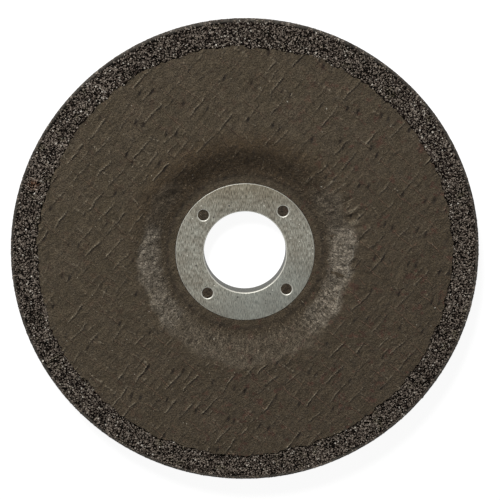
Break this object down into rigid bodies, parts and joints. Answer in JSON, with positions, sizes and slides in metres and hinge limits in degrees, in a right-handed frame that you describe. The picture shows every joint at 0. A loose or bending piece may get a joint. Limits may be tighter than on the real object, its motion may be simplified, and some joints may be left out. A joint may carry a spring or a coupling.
{
  "type": "grinding disc",
  "caption": "Depressed-centre grinding disc for an angle grinder: a moulded abrasive dish with a woven facing and a steel ring that lines its bore.",
  "frame": {"origin": "centre of the flat back of the hub, on the disc's axis", "axes": "+Z along the axis, out of the recess side that faces the grinder's nut; +Y is the top of the disc as pictured"},
  "size_m": [0.125, 0.125, 0.0108],
  "materials": {
    "bonded_abrasive": "coarse dark grain in resin, rough",
    "resin_cloth": "matt olive-brown, resin-soaked cloth",
    "ring_steel": "satin, slightly tarnished"
  },
  "bodies": {
    "root": {"abrasive_body": "bonded_abrasive", "mesh_facing": "resin_cloth", "centre_ring": "ring_steel"}
  },
  "joints": []
}
